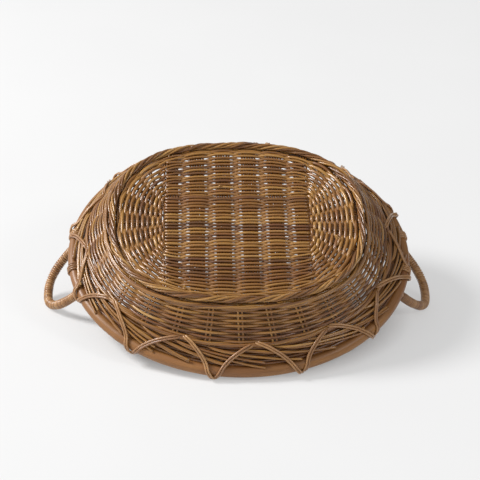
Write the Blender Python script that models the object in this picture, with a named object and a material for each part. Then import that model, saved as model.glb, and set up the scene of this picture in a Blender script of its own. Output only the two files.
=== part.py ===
# Oval rattan tray basket with two fixed handles, lying upside down as photographed.
# It leans on the tops of its handles and on the front of its rim.
import bpy
import bmesh
from math import pi, sin, cos, asin, atan2, radians
from mathutils import Matrix, Vector

# Driving dimensions in metres. In the basket's own frame the origin is the middle of
# the rim hoop, X runs along the basket, Y across it and Z towards the base.
GAP = 0.0003                  # running clearance between pieces that touch

RIM_HALF_LENGTH = 0.2373      # rim hoop, to the middle of the pole
RIM_HALF_DEPTH = 0.2118
RIM_FULLNESS = 2.0            # 2 is an ellipse, more is squarer
HOOP_RADIUS = 0.0083

FOOT_HALF_LENGTH = 0.1760     # foot ring, to the middle of its rods
FOOT_HALF_DEPTH = 0.1458
FOOT_FULLNESS = 2.5
FOOT_HEIGHT = 0.0745          # foot ring above the hoop
FOOT_SHIFT = 0.0048           # the body leans this far to its left
FOOT_ROD_RADIUS = 0.0027
FOOT_RODS = 3
FOOT_TWISTS = 14              # turns of each rod round the others in one round
FOOT_POINTS = 5               # corners of a rod's bend in one twist
FOOT_FLAT = 0.0005            # wear on the crests, which is what the basket stands on in use

STAKE_PAIRS = 27              # odd, so that one weaver alternates from round to round
STAKE_RADIUS = 0.0014
STAKE_SPARE = 0.0030          # a tunnel runs out above its stakes by this much
WEAVER_DIAMETER = 0.0030
WALL_ROWS = 13                # rows of plain weave in the wall
WALL_INNER_ROWS = 9           # those of them whose ridges show inside, below the corner
WALL_ROW_PITCH = 0.0036
WALL_BAND = 0.0066            # height of the smooth rods between the border and the first row

BORDER_CANES = 4
BORDER_CANE_RADIUS = 0.0029
SKIRT_OUT = 0.0010            # outer and inner face of the bent stake ends in the border
SKIRT_IN = 0.0034
SKIRT_STEP = 0.0010           # height of the slope from the skirt to the weave

RIB_COUNT = 6
RIB_PITCH = 0.0374
RIB_WIDTH = 0.0150
MAT_HALF_DEPTH = 0.0475       # the mat in the middle of the base, which the rounds go round
MAT_ROWS = 13                 # ridges of the mat, each for two turns of weaver
BASE_ROUNDS = 10              # ridges of the rounds, each for two turns as well
RIGHT_SPOKES = 8              # fanned out from each end of the mat
LEFT_SPOKES = 7
BASE_EDGE = 0.0024            # half the thickness of the base at its edge
BASE_EDGE_RISE = 0.0022       # the base curls up to its corner by this much
BASE_DROP = 0.0063            # middle of the base below the middle of the foot ring
CORNER_THICKNESS = 0.0058
CORNER_START = radians(-82)   # the turned corner goes round the foot ring from here
CORNER_BEND = radians(-119)
CORNER_END = radians(-155)

LASHING_TURNS = 12
LASHING_START = -0.0269       # first low point, as a share of the way round from the right end
LASHING_WIDTH = 0.0054
LASHING_THICKNESS = 0.0017

HANDLE_HALF_WIDTH = 0.0500    # middle of one leg to the middle of the basket
HANDLE_REACH = 0.0975         # top of the arch beyond the hoop
HANDLE_SLOPE = radians(50.5)
HANDLE_FULLNESS = 2.5
HANDLE_CORE_RADIUS = 0.0043
HANDLE_WRAP_RADIUS = 0.0068
HANDLE_WRAP_RIDGE = 0.0006
HANDLE_WRAP_PITCH = 0.0143    # of the one raised turn
HANDLE_TIP_RADIUS = 0.0014
HANDLE_LEG = 0.0680           # how far a leg runs up the wall from the hoop
HANDLE_WRAP_END = 0.0240      # how far the wrapping follows it
HANDLE_TAPER = 1.25           # a leg is down to its tip's radius before its end by this factor
# A leg's rise above the hoop, and its distance in as a share of LEG_CLEAR.
HANDLE_LEG_BEND = ((0.014, 1), (0.027, 0.85), (0.040, 0.5), (0.054, 0.16), (HANDLE_LEG, 0))

# Places that follow from the driving dimensions.
WEAVE_THIN = WEAVER_DIAMETER + 0.0001            # half the smooth bands of the wall
WEAVE_THICK = STAKE_RADIUS + WEAVER_DIAMETER     # crest of a row over a stake
WEAVE_HOLLOW = STAKE_RADIUS + 2 * GAP            # the rows beside it, behind the stake
WEAVE_CROSS = WEAVER_DIAMETER / 2 + GAP          # where the rows cross between two stakes
BASE_HOLLOW = STAKE_RADIUS + 3 * GAP
FOOT_SLANT = 0.95             # the rods lie aslant, so they need more room by this share
FOOT_WIND = (2 * FOOT_ROD_RADIUS + GAP) / (3 ** 0.5 * cos(pi / FOOT_POINTS) * FOOT_SLANT)
FOOT_SAG = 0.0006             # a rod's straight pieces cut this far into a bend
FOOT_CLEAR = FOOT_WIND + FOOT_ROD_RADIUS + GAP + FOOT_SAG
BORDER_PITCH = 2 * BORDER_CANE_RADIUS + GAP
BORDER_START = HOOP_RADIUS + GAP + BORDER_CANE_RADIUS
BORDER_TOP = BORDER_START + (BORDER_CANES - 1) * BORDER_PITCH + BORDER_CANE_RADIUS + GAP
LASHING_LAYER = LASHING_THICKNESS + 3 * GAP
SLOT_ROOM = 0.0017            # round the lashing where it goes through the wall
SLOT_RISE = BORDER_TOP + WEAVER_DIAMETER + LASHING_THICKNESS / 2
SLOT_STEP = LASHING_WIDTH     # one lashing goes through the wall above the other
LASHING_EASE = 0.0006         # slack of a straight stretch over the curve of the rim
LASHING_BENDS = 5             # corners of the lashing under the hoop
LASHING_SEAT = (HOOP_RADIUS + GAP) / cos(pi / LASHING_BENDS / 2)
LEG_CLEAR = LASHING_SEAT + LASHING_LAYER + GAP + HANDLE_WRAP_RADIUS
POLE_STEP = 0.0095            # between two corners of a handle's bend
WRAP_SIDES = 8
SOCKET_SPARE = 0.0012         # a socket is longer than its pole at both ends
STAKE_STEP = 2                # sections of the wall from stake to stake
RIM_SECTIONS = STAKE_PAIRS * STAKE_STEP
FRONT = 0.75                  # the front as a share of the way round from the right end


def clear_scene():
    for old in list(bpy.data.objects):
        bpy.data.objects.remove(old, do_unlink=True)


def make_material(name, colour, roughness):
    material = bpy.data.materials.new(name)
    material.use_nodes = True
    shader = material.node_tree.nodes["Principled BSDF"]
    shader.inputs["Base Color"].default_value = (*colour, 1)
    shader.inputs["Roughness"].default_value = roughness
    shader.inputs["Metallic"].default_value = 0
    return material


# Outlines seen from above
def oval_radius(half_length, half_depth, fullness, angle):
    along = abs(cos(angle) / half_length) ** fullness
    across = abs(sin(angle) / half_depth) ** fullness
    return (along + across) ** (-1 / fullness)


def rim_point(angle):
    radius = oval_radius(RIM_HALF_LENGTH, RIM_HALF_DEPTH, RIM_FULLNESS, angle)
    return Vector((radius * cos(angle), radius * sin(angle), 0))


def foot_point(angle):
    radius = oval_radius(FOOT_HALF_LENGTH, FOOT_HALF_DEPTH, FOOT_FULLNESS, angle)
    return Vector((radius * cos(angle) - FOOT_SHIFT, radius * sin(angle), FOOT_HEIGHT))


def even_angle(share, point_at=rim_point, samples=720):
    # The angle at a share of the way round, measured along the outline itself.
    points = [point_at(2 * pi * i / samples) for i in range(samples + 1)]
    steps = [(b - a).length for a, b in zip(points, points[1:])]
    target = (share % 1) * sum(steps)
    for i, step in enumerate(steps):
        if target <= step:
            return 2 * pi * (i + target / step) / samples
        target -= step
    return 2 * pi


def rim_share(angle, samples=720):
    # The share of the way round that an angle on the rim stands for.
    angle %= 2 * pi
    points = [rim_point(2 * pi * i / samples) for i in range(samples + 1)]
    steps = [(b - a).length for a, b in zip(points, points[1:])]
    whole = int(angle / (2 * pi) * samples)
    part = angle / (2 * pi) * samples - whole
    return (sum(steps[:whole]) + part * steps[min(whole, samples - 1)]) / sum(steps)


def beside_stakes(share, half_width):
    # A share of the way round, moved if need be so that half_width there is clear of the stakes.
    girth = pi * (FOOT_HALF_LENGTH + FOOT_HALF_DEPTH)
    clear = (half_width + 2 * STAKE_RADIUS + 5 * GAP) / girth
    nearest = FRONT + round((share - FRONT) * STAKE_PAIRS) / STAKE_PAIRS
    apart = share - nearest
    if abs(apart) >= clear:
        return share
    return nearest + (clear if apart > 0 else -clear)


# The wall's middle surface, a straight line from hoop to foot ring at every angle
def wall_length(angle):
    return (foot_point(angle) - rim_point(angle)).length


def wall_middle(angle, rise):
    low = rim_point(angle)
    return low + (foot_point(angle) - low) * (rise / wall_length(angle))


def wall_frame(angle, rise):
    nudge = 0.0005
    along = (wall_middle(angle + nudge, rise) - wall_middle(angle - nudge, rise)).normalized()
    up = (foot_point(angle) - rim_point(angle)).normalized()
    return wall_middle(angle, rise), along, up, along.cross(up).normalized()


def wall_point(angle, rise, out):
    middle, along, up, outward = wall_frame(angle, rise)
    return middle + outward * out


def wall_angle(y, rise, side):
    # The angle at which the wall's middle surface is y from the middle of the basket.
    angle = 0 if side > 0 else pi
    for _ in range(12):
        middle = wall_middle(angle, rise)
        reach = (middle.x ** 2 + middle.y ** 2) ** 0.5
        turn = asin(y / reach)
        angle = turn if side > 0 else pi - turn
    return angle


def stake_angles():
    return [even_angle(FRONT + k / STAKE_PAIRS) for k in range(STAKE_PAIRS)]


# Making solids
def add_object(name, data, material, collection, parent):
    piece = bpy.data.objects.new(name, data)
    collection.objects.link(piece)
    piece.parent = parent
    if material:
        data.materials.append(material)
    return piece


def loft(name, rings, closed, place, material, smooth_angle=35):
    # One closed skin through rings of equal count; open lofts get flat ends.
    shape = bmesh.new()
    loops = [[shape.verts.new(point) for point in ring] for ring in rings]
    pairs = list(zip(loops, loops[1:]))
    if closed:
        pairs.append((loops[-1], loops[0]))
    count = len(loops[0])
    for near, far in pairs:
        for i in range(count):
            j = (i + 1) % count
            shape.faces.new((near[i], near[j], far[j], far[i]))
    if not closed:
        shape.faces.new(loops[0])
        shape.faces.new(loops[-1])
    bmesh.ops.recalc_face_normals(shape, faces=shape.faces)
    mesh = bpy.data.meshes.new(name)
    shape.to_mesh(mesh)
    shape.free()
    mesh.shade_smooth()
    mesh.set_sharp_from_angle(angle=radians(smooth_angle))
    return add_object(name, mesh, material, place["pieces"], place["frame"])


def cane(name, points, radius, place, material, cyclic=False, roundness=1, radii=None):
    # A round rod along points; roundness 0, 1 and 2 give 4, 6 and 8 sides.
    curve = bpy.data.curves.new(name, "CURVE")
    curve.dimensions = "3D"
    curve.bevel_depth = radius
    curve.bevel_resolution = roundness
    curve.render_resolution_u = 0
    curve.use_fill_caps = not cyclic
    spline = curve.splines.new("POLY")
    spline.points.add(len(points) - 1)
    for i, point in enumerate(points):
        spline.points[i].co = (*point, 1)
        spline.points[i].radius = radii[i] / radius if radii else 1
    spline.use_cyclic_u = cyclic
    spline.use_smooth = True
    return add_object(name, curve, material, place["pieces"], place["frame"])


def as_mesh(piece):
    # The evaluated rod as a welded mesh, which takes cuts and can be a cutter.
    bpy.context.view_layer.update()
    evaluated = piece.evaluated_get(bpy.context.evaluated_depsgraph_get())
    mesh = bpy.data.meshes.new_from_object(evaluated)
    mesh.name = piece.name
    shape = bmesh.new()
    shape.from_mesh(mesh)
    bmesh.ops.remove_doubles(shape, verts=shape.verts, dist=1e-6)
    bmesh.ops.recalc_face_normals(shape, faces=shape.faces)
    shape.to_mesh(mesh)
    shape.free()
    name, parent, collections = piece.name, piece.parent, list(piece.users_collection)
    bpy.data.objects.remove(piece, do_unlink=True)
    solid = bpy.data.objects.new(name, mesh)
    for collection in collections:
        collection.objects.link(solid)
    solid.parent = parent
    return solid


def into_cutter(piece, place):
    for collection in list(piece.users_collection):
        collection.objects.unlink(piece)
    place["cutters"].objects.link(piece)
    piece.hide_render = True
    piece.display_type = "WIRE"
    return piece


def cut(pieces, cutters, place):
    # One cutter from all the cutters, which don't meet each other.
    shape = bmesh.new()
    for cutter in cutters:
        shape.from_mesh(cutter.data)
    name = pieces[0].name + "_cutter"
    mesh = bpy.data.meshes.new(name)
    shape.to_mesh(mesh)
    shape.free()
    for cutter in cutters:
        bpy.data.objects.remove(cutter, do_unlink=True)
    joined = add_object(name, mesh, None, place["pieces"], place["frame"])
    into_cutter(joined, place)
    for piece in pieces:
        modifier = piece.modifiers.new("openings", "BOOLEAN")
        modifier.operation = "DIFFERENCE"
        modifier.object = joined


# The wall, with its turned corner above and the bent stake ends below
def row_faces(row, stake):
    # How far the outer and the inner face stand out at a row; stake is 1, -1, or 0 between two.
    if stake == 0:
        return WEAVE_CROSS, -WEAVE_CROSS
    if stake * (-1) ** row > 0:
        return WEAVE_THICK, -WEAVE_HOLLOW
    return WEAVE_HOLLOW, -WEAVE_THICK


def wall_section(angle, stake):
    length = wall_length(angle)
    middle, along, up, outward = wall_frame(angle, length)
    level = Vector((outward.x, outward.y, 0)).normalized()

    def on_corner(radius, turn):
        return middle + level * (radius * cos(turn)) + Vector((0, 0, radius * sin(turn)))

    groove = FOOT_CLEAR / cos((CORNER_START - CORNER_BEND) / 2)
    outer_radius = FOOT_CLEAR + CORNER_THICKNESS
    low = BORDER_TOP + SKIRT_STEP
    high = length - FOOT_CLEAR - 2 * SKIRT_STEP
    nominal = wall_length(2 * pi * FRONT) - FOOT_CLEAR - 2 * SKIRT_STEP - low
    pitch = WALL_ROW_PITCH * (high - low) / nominal
    rises = [low + WALL_BAND + (row + 0.5) * pitch for row in range(WALL_ROWS)]
    outer = [wall_point(angle, rise, row_faces(row, stake)[0]) for row, rise in enumerate(rises)]
    inner = [wall_point(angle, rise, row_faces(row, stake)[1])
             for row, rise in enumerate(rises[:WALL_INNER_ROWS])]
    return [
        wall_point(angle, HOOP_RADIUS + GAP, SKIRT_OUT),
        wall_point(angle, BORDER_TOP, SKIRT_OUT),
        wall_point(angle, low, WEAVE_THIN),
        wall_point(angle, low + WALL_BAND, WEAVE_THIN),
        *outer,
        wall_point(angle, high, WEAVE_THIN),
        wall_point(angle, length - FOOT_CLEAR, WEAVE_THIN - 2 * SKIRT_STEP),
        on_corner(groove, CORNER_START),
        on_corner(groove, CORNER_BEND),
        on_corner(groove, CORNER_END),
        on_corner(outer_radius, CORNER_END),
        on_corner(outer_radius, CORNER_BEND + (CORNER_START - CORNER_BEND) / 5),
        wall_point(angle, rises[WALL_INNER_ROWS], -WEAVE_THIN),
        *inner[::-1],
        wall_point(angle, low, -WEAVE_THIN),
        wall_point(angle, BORDER_TOP, -SKIRT_IN),
        wall_point(angle, HOOP_RADIUS + GAP, -SKIRT_IN),
    ]


def pair_section(angle, rise, grow):
    # Two round stakes side by side, drawn as one outline with a waist.
    middle, along, up, outward = wall_frame(angle, rise)
    radius = STAKE_RADIUS + grow
    outline = []
    for side in (1, -1):
        for degrees in (-66, 0, 66):
            turn = radians(degrees)
            across = side * (STAKE_RADIUS + radius * cos(turn))
            outline.append(middle + along * across + outward * (side * radius * sin(turn)))
    return outline


def make_wall(place, wood):
    # The number of stakes is odd, so two that meet at the back have the same rows in front.
    sections = []
    for i in range(RIM_SECTIONS):
        angle = even_angle(FRONT + i / RIM_SECTIONS)
        order = (i // STAKE_STEP + STAKE_PAIRS // 2) % STAKE_PAIRS
        stake = (-1) ** order if i % STAKE_STEP == 0 else 0
        sections.append(wall_section(angle, stake))
    return loft("wall_weave", sections, True, place, wood)


def make_stakes(place, wood):
    tunnels = []
    foot = BORDER_TOP + 1.5 * SKIRT_STEP
    for number, angle in enumerate(stake_angles(), 1):
        top = wall_length(angle) - FOOT_CLEAR
        rings = [pair_section(angle, foot + GAP, 0), pair_section(angle, top, 0)]
        loft(f"wall_stakes_{number:02d}", rings, False, place, wood)
        rings = [pair_section(angle, foot, GAP), pair_section(angle, top + STAKE_SPARE, GAP)]
        tunnels.append(loft(f"tunnel_{number:02d}", rings, False, place, None))
    return tunnels


# The base: a mat woven over six bundles of crosswise ribs, and rounds woven round it
def base_halves():
    # Half the length and depth of the base, inside the wall's turned corner.
    inset = (FOOT_CLEAR + CORNER_THICKNESS) * cos(pi + CORNER_END) + 2 * GAP
    return FOOT_HALF_LENGTH - inset, FOOT_HALF_DEPTH - inset


def base_outline(x):
    half_length, half_depth = base_halves()
    along = min(1, abs(x) / half_length)
    return half_depth * max(0, 1 - along ** FOOT_FULLNESS) ** (1 / FOOT_FULLNESS)


def base_level(x, y):
    share = (abs(x / FOOT_HALF_LENGTH) ** FOOT_FULLNESS
             + abs(y / FOOT_HALF_DEPTH) ** FOOT_FULLNESS) ** (1 / FOOT_FULLNESS)
    curl = max(0, (share - 0.6) / 0.33)
    return FOOT_HEIGHT - BASE_DROP + BASE_EDGE_RISE * min(1, curl) ** 2


def base_strip(places):
    # The outline of a section through (x, y, upper half, lower half), there above and back below.
    upper = [Vector((x - FOOT_SHIFT, y, base_level(x, y) + over)) for x, y, over, under in places]
    lower = [Vector((x - FOOT_SHIFT, y, base_level(x, y) - under)) for x, y, over, under in places]
    return upper + lower[::-1]


def row_halves(row, crossing):
    # The upper and lower half of the base at a ridge; crossing is 1, -1, or 0 between two ribs.
    if crossing == 0:
        return BASE_HOLLOW, BASE_HOLLOW
    if crossing * (-1) ** row > 0:
        return WEAVE_THICK, BASE_HOLLOW
    return BASE_HOLLOW, WEAVE_THICK


def rib_places():
    return [RIB_PITCH * (k - (RIB_COUNT - 1) / 2) for k in range(RIB_COUNT)]


def mat_corner():
    # The mat's ends just cover the outer ribs, and its corners are cut off.
    end = rib_places()[-1] + RIB_WIDTH / 2
    return end, MAT_HALF_DEPTH - (end - rib_places()[-1]) * 0.7


def make_mat(place, wood):
    end, end_depth = mat_corner()
    columns = [(-end, end_depth, 0)]
    for number, x in enumerate(rib_places()):
        columns.append((x, MAT_HALF_DEPTH, (-1) ** number))
        columns.append((x + RIB_PITCH / 2, MAT_HALF_DEPTH, 0))
    columns[-1] = (end, end_depth, 0)
    sections = []
    for x, half_depth, crossing in columns:
        places = [(x, -half_depth, BASE_HOLLOW, BASE_HOLLOW)]
        for row in range(MAT_ROWS):
            y = half_depth * (2 * (row + 0.5) / MAT_ROWS - 1)
            places.append((x, y, *row_halves(row, crossing)))
        places.append((x, half_depth, BASE_HOLLOW, BASE_HOLLOW))
        sections.append(base_strip(places))
    return loft("base_mat", sections, False, place, wood)


def end_spokes(count, side):
    # Inner and outer end of each spoke that fans out from an end of the mat, and between them.
    half_length, half_depth = base_halves()
    end, end_depth = mat_corner()
    last = rib_places()[-1]
    inner = [(last, -MAT_HALF_DEPTH - GAP)]
    inner += [(end + GAP, end_depth * (2 * k / (count - 1) - 1)) for k in range(count)]
    inner.append((last, MAT_HALF_DEPTH + GAP))
    lines = []
    widest = atan2(base_outline(last), last)
    steps = 2 * (count + 1)
    for i in range(1, steps):
        near, far = inner[i // 2], inner[(i + 1) // 2]
        turn = widest * (2 * i / steps - 1)
        radius = oval_radius(half_length, half_depth, FOOT_FULLNESS, turn)
        start = ((near[0] + far[0]) / 2 * side, (near[1] + far[1]) / 2 * side)
        lines.append((start, (radius * cos(turn) * side, radius * sin(turn) * side)))
    return lines


def base_lines():
    # All the lines across the rounds, anticlockwise, every other one over a rib or spoke.
    near = [RIB_PITCH / 2 * (k - RIB_COUNT + 1) for k in range(2 * RIB_COUNT - 1)]
    seam = MAT_HALF_DEPTH + GAP
    lines = [((x, -seam), (x, -base_outline(x))) for x in near]
    lines += end_spokes(RIGHT_SPOKES, 1)
    lines += [((x, seam), (x, base_outline(x))) for x in near[::-1]]
    return lines + end_spokes(LEFT_SPOKES, -1)


def make_rounds(place, wood):
    sections = []
    for number, (inner, outer) in enumerate(base_lines()):
        crossing = (-1) ** (number // 2) if number % 2 == 0 else 0
        places = [(*inner, BASE_HOLLOW, BASE_HOLLOW)]
        for turn in range(BASE_ROUNDS):
            share = (turn + 0.5) / BASE_ROUNDS
            x, y = (inner[k] + (outer[k] - inner[k]) * share for k in (0, 1))
            places.append((x, y, *row_halves(turn, crossing)))
        places.append((*outer, BASE_EDGE, BASE_EDGE))
        sections.append(base_strip(places))
    return loft("base_weave", sections, True, place, wood)


def make_base(place, wood):
    mat = make_mat(place, wood)
    rounds = make_rounds(place, wood)
    slots = []
    stations = [k / 8 for k in range(-8, 9) if abs(k) not in (1, 2, 3)]
    for number, x in enumerate(rib_places(), 1):
        half = base_outline(x)
        for name, grow, reach in ((f"base_rib_{number}", 0, half - 0.002),
                                  (f"rib_slot_{number}", GAP, half + 0.004)):
            rings = []
            for share in stations:
                y = share * reach
                level = base_level(x, y)
                wide, tall = RIB_WIDTH / 2 + grow, STAKE_RADIUS + grow
                rings.append([Vector((x - FOOT_SHIFT + wide * a, y, level + tall * b))
                              for a, b in ((1, 0), (0.85, 1), (-0.85, 1),
                                           (-1, 0), (-0.85, -1), (0.85, -1))])
            rib = loft(name, rings, False, place, wood if grow == 0 else None)
            if grow:
                slots.append(rib)
    cut([rounds, mat], slots, place)


# The foot ring, three rods twisted round each other
def make_foot_ring(place, wood):
    count = FOOT_TWISTS * FOOT_POINTS
    for rod in range(FOOT_RODS):
        points = []
        for i in range(count):
            share = i / count
            angle = even_angle(share, foot_point)
            middle, along, up, outward = wall_frame(angle, wall_length(angle))
            level = Vector((outward.x, outward.y, 0)).normalized()
            turn = 2 * pi * (FOOT_TWISTS * share + rod / FOOT_RODS)
            points.append(middle + level * (FOOT_WIND * cos(turn))
                          + Vector((0, 0, FOOT_WIND * sin(turn))))
        name = f"foot_ring_rod_{rod + 1}"
        solid = as_mesh(cane(name, points, FOOT_ROD_RADIUS, place, wood, cyclic=True))
        wear_flat(solid, FOOT_HEIGHT + FOOT_WIND + FOOT_ROD_RADIUS - FOOT_FLAT)


def wear_flat(piece, height):
    # The crests above a height are worn away to it.
    shape = bmesh.new()
    shape.from_mesh(piece.data)
    everything = shape.verts[:] + shape.edges[:] + shape.faces[:]
    bmesh.ops.bisect_plane(shape, geom=everything, plane_co=(0, 0, height),
                           plane_no=(0, 0, 1), clear_outer=True, dist=1e-7)
    rims = [edge for edge in shape.edges if edge.is_boundary]
    bmesh.ops.holes_fill(shape, edges=rims, sides=0)
    bmesh.ops.recalc_face_normals(shape, faces=shape.faces)
    shape.to_mesh(piece.data)
    shape.free()


# The rim: border canes, hoop and lashing
def make_border(place, wood):
    for number in range(BORDER_CANES):
        rise = BORDER_START + number * BORDER_PITCH
        out = SKIRT_OUT + GAP + BORDER_CANE_RADIUS
        points = [wall_point(even_angle(FRONT + i / RIM_SECTIONS), rise, out)
                  for i in range(RIM_SECTIONS)]
        cane(f"border_cane_{number + 1}", points, BORDER_CANE_RADIUS, place, wood, cyclic=True)


def make_hoop(place, wood):
    count = 72
    points = [rim_point(even_angle(i / count)) for i in range(count)]
    cane("rim_hoop", points, HOOP_RADIUS, place, wood, cyclic=True, roundness=2)


def lashing_tops():
    # Where the lashing goes through the wall: midway between low points, beside the stakes.
    return [beside_stakes(LASHING_START - (turn - 0.5) / LASHING_TURNS,
                          LASHING_WIDTH / 2 + SLOT_ROOM)
            for turn in range(LASHING_TURNS)]


def lashing_sides(layer):
    # The way down outside and inside as (share of the way down, distance out from the wall).
    grow = GAP + LASHING_THICKNESS / 2 + layer * LASHING_LAYER
    weave = WEAVE_THICK + grow + LASHING_EASE
    canes = SKIRT_OUT + GAP + 2 * BORDER_CANE_RADIUS + grow + LASHING_EASE
    hoop = LASHING_SEAT + LASHING_THICKNESS / 2 + layer * LASHING_LAYER
    outside = [(0.02, weave), (0.09, canes), (0.5, (canes + hoop) / 2 + LASHING_EASE), (0.95, hoop)]
    inside = [(0.02, weave)] + [(share, weave + (hoop - weave) * share) for share in (0.35, 0.7)]
    return outside, inside + [(0.95, hoop)], hoop


def lashing_path(layer, outward_first):
    # Points as (share of the way round, rise, distance out, rise of what the cane bends round).
    outside, inside, hoop = lashing_sides(layer)
    first, second = (outside, inside) if outward_first else (inside, outside)
    sign = 1 if outward_first else -1
    slot = SLOT_RISE + layer * SLOT_STEP
    edge = slot - SLOT_STEP
    tops = lashing_tops()
    path = []
    for turn in range(LASHING_TURNS):
        start, after = tops[turn], tops[(turn + 1) % LASHING_TURNS]
        after -= round(after - start + 1 / LASHING_TURNS)
        low = LASHING_START - turn / LASHING_TURNS
        path.append((start, slot, sign * WEAVE_THIN, edge))
        for down, out in first:
            rise = slot * (1 - down)
            path.append((start + (low - start) * down, rise, sign * out, rise))
        for bend in range(LASHING_BENDS):
            turn_at = -pi * (bend + 0.5) / LASHING_BENDS
            path.append((low, hoop * sin(turn_at), sign * hoop * cos(turn_at), 0))
        for down, out in reversed(second):
            rise = slot * (1 - down)
            path.append((after + (low - after) * down, rise, -sign * out, rise))
        path.append((after, slot, -sign * WEAVE_THIN, edge))
    return path


def make_lashing(name, layer, outward_first, place, wood):
    points, aways = [], []
    for share, rise, out, heart_rise in lashing_path(layer, outward_first):
        angle = even_angle(share)
        points.append(wall_point(angle, rise, out))
        aways.append(points[-1] - wall_point(angle, heart_rise, 0))
    rings = []
    count = len(points)
    for i in range(count):
        ahead = (points[(i + 1) % count] - points[i - 1]).normalized()
        away = (aways[i] - ahead * aways[i].dot(ahead)).normalized()
        across = ahead.cross(away)
        wide, thick = across * (LASHING_WIDTH / 2), away * (LASHING_THICKNESS / 2)
        rings.append([points[i] + wide * a + thick * b
                      for a, b in ((-1, -1), (1, -1), (0.8, 1), (-0.8, 1))])
    loft(name, rings, True, place, wood)


def lashing_slots(place):
    slots = []
    for number, share in enumerate(lashing_tops(), 1):
        angle = even_angle(share)
        for layer in (0, 1):
            rings = []
            for side in (-1, 1):
                rise = SLOT_RISE + layer * SLOT_STEP + side * (LASHING_THICKNESS / 2 + SLOT_ROOM)
                middle, along, up, outward = wall_frame(angle, rise)
                wide, deep = along * (LASHING_WIDTH / 2 + SLOT_ROOM), outward * 2 * WEAVE_THICK
                rings.append([middle + wide * a + deep * b
                              for a, b in ((1, 1), (1, -1), (-1, -1), (-1, 1))])
            slots.append(loft(f"slot_{number:02d}_{layer}", rings, False, place, None))
    return slots


# The handles, bent poles whose thinned ends are pushed into the weave
def handle_path(side):
    seat = wall_angle(HANDLE_HALF_WIDTH, 0, side)
    hoop_at_leg = rim_point(seat)
    down = Vector((side * cos(HANDLE_SLOPE), 0, -sin(HANDLE_SLOPE)))
    inward = Vector((-side * sin(HANDLE_SLOPE), 0, -cos(HANDLE_SLOPE)))
    root = Vector((hoop_at_leg.x, 0, 0)) + inward * LEG_CLEAR
    arch = []
    count = 20
    for i in range(count + 1):
        turn = pi * i / count
        y = HANDLE_HALF_WIDTH * abs(cos(turn)) ** (2 / HANDLE_FULLNESS) * (1 if i < count / 2 else -1)
        beyond = HANDLE_REACH * abs(sin(turn)) ** (2 / HANDLE_FULLNESS)
        arch.append((root + down * beyond + Vector((0, y, 0)), HANDLE_CORE_RADIUS))
    ends = []
    for sign in (1, -1):
        seat = rim_share(wall_angle(sign * HANDLE_HALF_WIDTH, 0, side))
        tip = beside_stakes(seat, HANDLE_TIP_RADIUS)
        points = []
        for rise, depth in HANDLE_LEG_BEND:
            angle = even_angle(seat + (tip - seat) * rise / HANDLE_LEG)
            thin = max(0, (rise - HANDLE_WRAP_END) / (HANDLE_LEG - HANDLE_WRAP_END))
            radius = (HANDLE_CORE_RADIUS
                      + (HANDLE_TIP_RADIUS - HANDLE_CORE_RADIUS) * min(1, HANDLE_TAPER * thin))
            points.append((wall_point(angle, rise, -LEG_CLEAR * depth), radius))
        ends.append(points)
    return ends[0][::-1] + arch + ends[1]


def smooth_path(path, spacing):
    # Catmull-Rom points at an even spacing through the path's own points.
    points = [path[0]] + path + [path[-1]]
    fine = []
    for k in range(1, len(points) - 2):
        (a, ra), (b, rb), (c, rc), (d, rd) = points[k - 1:k + 3]
        steps = 12
        for i in range(steps):
            t = i / steps
            place = 0.5 * (2 * b + (c - a) * t + (2 * a - 5 * b + 4 * c - d) * t ** 2
                           + (3 * b - a - 3 * c + d) * t ** 3)
            fine.append((place, rb + (rc - rb) * t))
    fine.append(path[-1])
    length = sum((fine[i + 1][0] - fine[i][0]).length for i in range(len(fine) - 1))
    wanted = max(2, round(length / spacing))
    even, run, target = [fine[0]], 0, length / wanted
    for i in range(len(fine) - 1):
        (a, ra), (b, rb) = fine[i], fine[i + 1]
        step = (b - a).length
        while run + step >= target * len(even) - 1e-9 and len(even) < wanted:
            t = (target * len(even) - run) / step
            even.append((a + (b - a) * t, ra + (rb - ra) * t))
        run += step
    even.append(fine[-1])
    return even


def make_handle_core(name, side, grow, place, wood):
    path = smooth_path(handle_path(side), POLE_STEP)
    points = [point for point, radius in path]
    radii = [radius + grow for point, radius in path]
    if grow:
        points[0] = points[0] + (points[0] - points[1]).normalized() * SOCKET_SPARE
        points[-1] = points[-1] + (points[-1] - points[-2]).normalized() * SOCKET_SPARE
    return cane(name, points, HANDLE_CORE_RADIUS + grow, place, wood, radii=radii)


def make_handle_wrap(name, side, place, wood):
    # A sleeve of closely wound cane, whose one raised turn runs round it from leg to leg.
    pole = [point for point, radius in smooth_path(handle_path(side), POLE_STEP)]
    spare = round((HANDLE_LEG - HANDLE_WRAP_END) / POLE_STEP)
    covered = pole[spare:-spare]
    level = Vector((side * sin(HANDLE_SLOPE), 0, cos(HANDLE_SLOPE)))
    bore_radius = (HANDLE_CORE_RADIUS + GAP) / cos(pi / WRAP_SIDES)
    last = len(covered) - 1
    outer, inner = [], []
    for i in range(2 * last + 1):
        # Every second ring lies halfway along a straight piece of the pole.
        k = i // 2
        before, after = covered[max(k - 1 + i % 2, 0)], covered[min(k + 1, last)]
        point = (covered[k] + after) / 2 if i % 2 else covered[k]
        ahead = (after - before).normalized()
        sideways = ahead.cross(level).normalized()
        upright = sideways.cross(ahead)
        wound = 2 * pi * i * POLE_STEP / 2 / HANDLE_WRAP_PITCH
        spokes = []
        for j in range(WRAP_SIDES):
            turn = 2 * pi * j / WRAP_SIDES
            hollow = HANDLE_WRAP_RIDGE * (0.5 - 0.5 * cos(turn - wound))
            spokes.append((sideways * cos(turn) + upright * sin(turn), hollow))
        outer.append([point + spoke * (HANDLE_WRAP_RADIUS - hollow) for spoke, hollow in spokes])
        if i % 2 == 0:
            inner.append([point + spoke * bore_radius for spoke, hollow in spokes])
    loft(name, outer + inner[::-1], True, place, wood)


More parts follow.
